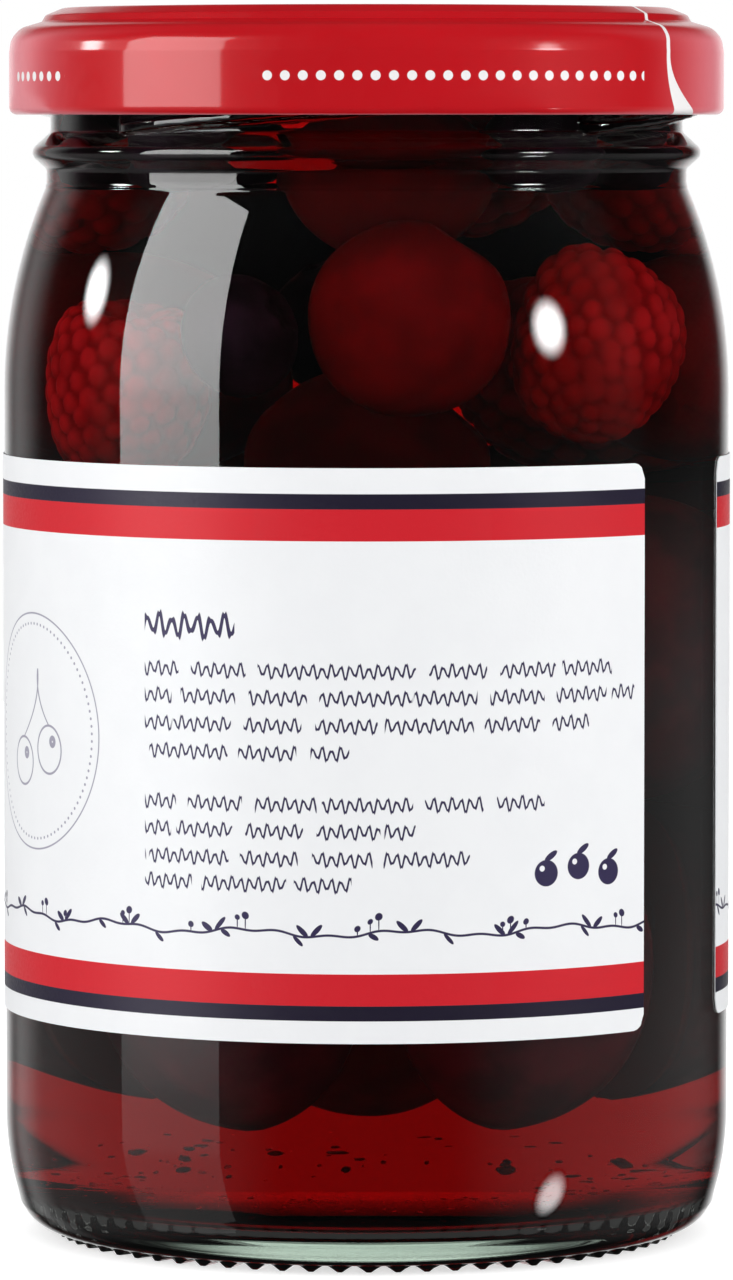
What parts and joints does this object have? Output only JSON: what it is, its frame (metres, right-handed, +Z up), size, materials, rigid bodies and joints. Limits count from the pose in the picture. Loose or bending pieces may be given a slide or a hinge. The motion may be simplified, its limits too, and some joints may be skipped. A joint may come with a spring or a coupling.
{
  "type": "rumtopf preserve jar",
  "caption": "Glass preserve jar with a red four-lug twist-off lid and a banded wrap label, filled with fruit in dark red syrup.",
  "frame": {"origin": "centre of the plane that the base's bearing ring stands on", "axes": "+Z up along the jar's axis, -Y out of the middle of the front, +X to the right as seen from the front"},
  "size_m": [0.0708, 0.0708, 0.1193],
  "materials": {
    "glass": "clear, faintly green",
    "lid_lacquer": "gloss red lacquer",
    "sealing_compound": "satin",
    "label_paper": "coated paper, printed in navy and red",
    "syrup": "clear dark red liquid",
    "cherry_skin": "glossy skin",
    "raspberry_flesh": "beaded flesh",
    "blueberry_skin": "waxy bloom",
    "plum_skin": "smooth skin with a cut face"
  },
  "bodies": {
    "jar": {"blueberry_1": "blueberry_skin", "blueberry_2": "blueberry_skin", "blueberry_3": "blueberry_skin", "blueberry_4": "blueberry_skin", "blueberry_5": "blueberry_skin", "blueberry_6": "blueberry_skin", "blueberry_7": "blueberry_skin", "cherry_1": "cherry_skin", "cherry_2": "cherry_skin", "cherry_3": "cherry_skin", "cherry_4": "cherry_skin", "cherry_5": "cherry_skin", "cherry_6": "cherry_skin", "cherry_7": "cherry_skin", "cherry_8": "cherry_skin", "glass_jar": "glass", "label": "label_paper", "plum_half_1": "plum_skin", "plum_half_2": "plum_skin", "plum_half_3": "plum_skin", "plum_half_4": "plum_skin", "plum_half_5": "plum_skin", "plum_half_6": "plum_skin", "plum_half_7": "plum_skin", "plum_half_8": "plum_skin", "raspberry_1": "raspberry_flesh", "raspberry_2": "raspberry_flesh", "raspberry_3": "raspberry_flesh", "raspberry_4": "raspberry_flesh", "raspberry_5": "raspberry_flesh", "raspberry_6": "raspberry_flesh", "syrup": "syrup"},
    "sealing_ring": {"sealing_ring": "sealing_compound"},
    "lid_shell": {"lid_shell": "lid_lacquer"}
  },
  "joints": [
    {"name": "lid_lift", "type": "slide", "parent": "jar", "child": "sealing_ring", "axis": [0, 0, 1], "range_m": [0, 0.016]},
    {"name": "lid_turn", "type": "hinge", "parent": "sealing_ring", "child": "lid_shell", "pos_m": [0, 0, 0.114], "axis": [0, 0, 1], "range_deg": [0, 360]}
  ],
  "couplings": [
    {"joint": "lid_lift", "follows": "lid_turn", "m_per_rad": 0.0025465}
  ]
}
